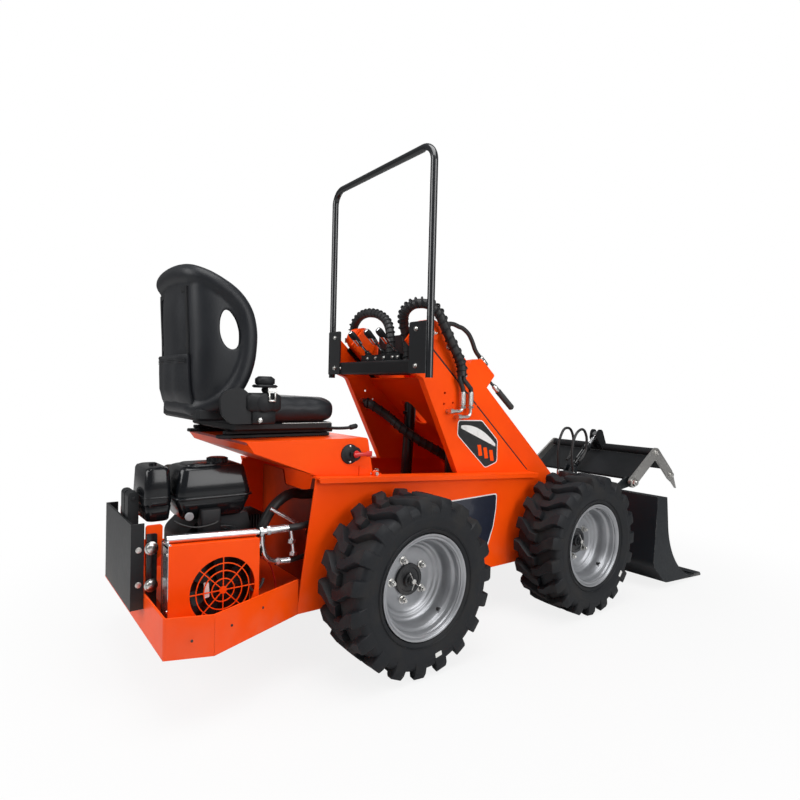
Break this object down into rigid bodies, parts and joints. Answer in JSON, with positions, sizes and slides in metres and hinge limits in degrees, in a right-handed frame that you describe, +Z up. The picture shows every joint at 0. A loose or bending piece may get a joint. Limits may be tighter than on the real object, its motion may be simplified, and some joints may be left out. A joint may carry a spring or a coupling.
{
  "type": "ride-on mini loader",
  "caption": "Ride-on skid-steer mini loader with a seat over a rear engine, a tower-pivoted boom, a roll hoop, and a front bucket with a hydraulic grapple.",
  "frame": {"origin": "on the ground under the middle of the overall box, on the centre line", "axes": "+Z up, the machine faces -Y, its right-hand side is -X"},
  "size_m": [1.1154, 2.779, 1.816],
  "materials": {
    "black_paint": "satin powder coat",
    "black_plastic": "matte moulded",
    "cast_grey": "painted cast",
    "charcoal_paint": "satin powder coat",
    "chrome_rod": "polished",
    "cooler_pipe": "satin",
    "engine_black": "semi-gloss",
    "hose_rubber": "matte",
    "orange_paint": "gloss powder coat",
    "seat_vinyl": "grained vinyl",
    "tyre_rubber": "matte",
    "wheel_silver": "satin metallic paint"
  },
  "bodies": {
    "chassis": {"boom_pivot_ears": "orange_paint", "console": "black_plastic", "console_hoses": "hose_rubber", "control_levers": "black_plastic", "cooler_core": "cooler_pipe", "cooler_fan": "black_plastic", "cooler_header": "cooler_pipe", "cooler_hoses": "hose_rubber", "cooler_shroud": "orange_paint", "counterweight_plate": "charcoal_paint", "deck_hinge_blocks": "orange_paint", "engine_air_cleaner": "engine_black", "engine_block": "cast_grey", "engine_bulkhead": "orange_paint", "engine_fuel_tank": "engine_black", "engine_muffler": "cast_grey", "engine_switch": "black_plastic", "hoop_frame": "black_paint", "hydraulic_pump": "cast_grey", "lift_brackets": "orange_paint", "main_frame": "orange_paint", "rear_brackets": "orange_paint", "rear_channels": "black_paint", "tower_fittings": "chrome_rod", "tower_front_panel": "orange_paint", "tower_hose": "hose_rubber", "tower_side_plates": "orange_paint", "wheel_motors": "black_paint"},
    "seat_deck": {"seat_deck": "orange_paint", "master_switch": "black_plastic", "seat_mount": "black_paint", "seat_cushion": "seat_vinyl", "seat_backrest": "seat_vinyl", "seat_pivot_covers": "black_plastic"},
    "boom": {"boom_arms": "orange_paint", "boom_latch": "orange_paint", "boom_latch_lever": "black_plastic", "boom_hose": "hose_rubber"},
    "bucket": {"bucket": "charcoal_paint", "grapple_hoses": "hose_rubber"},
    "grapple": {"grapple": "black_paint"},
    "lift_barrels": {"lift_cylinder_barrels": "black_paint"},
    "lift_rods": {"lift_cylinder_rods": "chrome_rod"},
    "tilt_barrel": {"tilt_cylinder_barrel": "black_paint"},
    "tilt_rod": {"tilt_cylinder_rod": "chrome_rod"},
    "grapple_barrel": {"grapple_cylinder_barrel": "black_paint"},
    "grapple_rod": {"grapple_cylinder_rod": "chrome_rod"},
    "front_left_wheel": {"tyre_front_left": "tyre_rubber", "rim_front_left": "wheel_silver", "hub_front_left": "black_paint"},
    "front_right_wheel": {"tyre_front_right": "tyre_rubber", "rim_front_right": "wheel_silver", "hub_front_right": "black_paint"},
    "rear_left_wheel": {"tyre_rear_left": "tyre_rubber", "rim_rear_left": "wheel_silver", "hub_rear_left": "black_paint"},
    "rear_right_wheel": {"tyre_rear_right": "tyre_rubber", "rim_rear_right": "wheel_silver", "hub_rear_right": "black_paint"}
  },
  "joints": [
    {"name": "front_left_wheel_spin", "type": "hinge", "parent": "chassis", "child": "front_left_wheel", "pos_m": [0.452, -0.3135, 0.29], "axis": [1, 0, 0], "continuous": true},
    {"name": "front_right_wheel_spin", "type": "hinge", "parent": "chassis", "child": "front_right_wheel", "pos_m": [-0.452, -0.3135, 0.29], "axis": [1, 0, 0], "continuous": true},
    {"name": "rear_left_wheel_spin", "type": "hinge", "parent": "chassis", "child": "rear_left_wheel", "pos_m": [0.452, 0.5945, 0.29], "axis": [1, 0, 0], "continuous": true},
    {"name": "rear_right_wheel_spin", "type": "hinge", "parent": "chassis", "child": "rear_right_wheel", "pos_m": [-0.452, 0.5945, 0.29], "axis": [1, 0, 0], "continuous": true},
    {"name": "seat_deck_tilt", "type": "hinge", "parent": "chassis", "child": "seat_deck", "pos_m": [0, 0.6355, 0.624], "axis": [1, 0, 0], "range_deg": [0, 45]},
    {"name": "boom_lift", "type": "hinge", "parent": "chassis", "child": "boom", "pos_m": [0, 0.3595, 1.132], "axis": [-1, 0, 0], "range_deg": [0, 60]},
    {"name": "bucket_tilt", "type": "hinge", "parent": "boom", "child": "bucket", "pos_m": [0, -0.69041, 0.19985], "axis": [-1, 0, 0], "range_deg": [-45, 30]},
    {"name": "grapple_open", "type": "hinge", "parent": "bucket", "child": "grapple", "pos_m": [0, -0.9495, 0.47], "axis": [1, 0, 0], "range_deg": [-25, 45]},
    {"name": "lift_cylinder_swing", "type": "hinge", "parent": "chassis", "child": "lift_barrels", "pos_m": [0, 0.1605, 0.3], "axis": [1, 0, 0], "range_deg": [-0.5, 4.51]},
    {"name": "lift_cylinder_stroke", "type": "slide", "parent": "lift_barrels", "child": "lift_rods", "axis": [0, -0.0549, 0.9985], "range_m": [-0.002, 0.3188]},
    {"name": "tilt_cylinder_swing", "type": "hinge", "parent": "boom", "child": "tilt_barrel", "pos_m": [0, -0.22371, 0.73455], "axis": [1, 0, 0], "range_deg": [-3.46, 2.64]},
    {"name": "tilt_cylinder_stroke", "type": "slide", "parent": "tilt_barrel", "child": "tilt_rod", "axis": [0, -0.8036, -0.5951], "range_m": [-0.07359, 0.10938]},
    {"name": "grapple_cylinder_swing", "type": "hinge", "parent": "bucket", "child": "grapple_barrel", "pos_m": [0, -0.8945, 0.5], "axis": [1, 0, 0], "range_deg": [-23.44, 41.4]},
    {"name": "grapple_cylinder_stroke", "type": "slide", "parent": "grapple_barrel", "child": "grapple_rod", "axis": [0, -0.7639, 0.6453], "range_m": [-0.0247, 0.04286]}
  ],
  "couplings": [
    {"joint": "lift_cylinder_swing", "follows": "boom_lift", "ratio": 0.058504},
    {"joint": "lift_cylinder_stroke", "follows": "boom_lift", "m_per_rad": 0.30252},
    {"joint": "tilt_cylinder_swing", "follows": "bucket_tilt", "ratio": 0.054716},
    {"joint": "tilt_cylinder_stroke", "follows": "bucket_tilt", "m_per_rad": -0.13672},
    {"joint": "grapple_cylinder_swing", "follows": "grapple_open", "ratio": 0.89779},
    {"joint": "grapple_cylinder_stroke", "follows": "grapple_open", "m_per_rad": 0.05203}
  ]
}
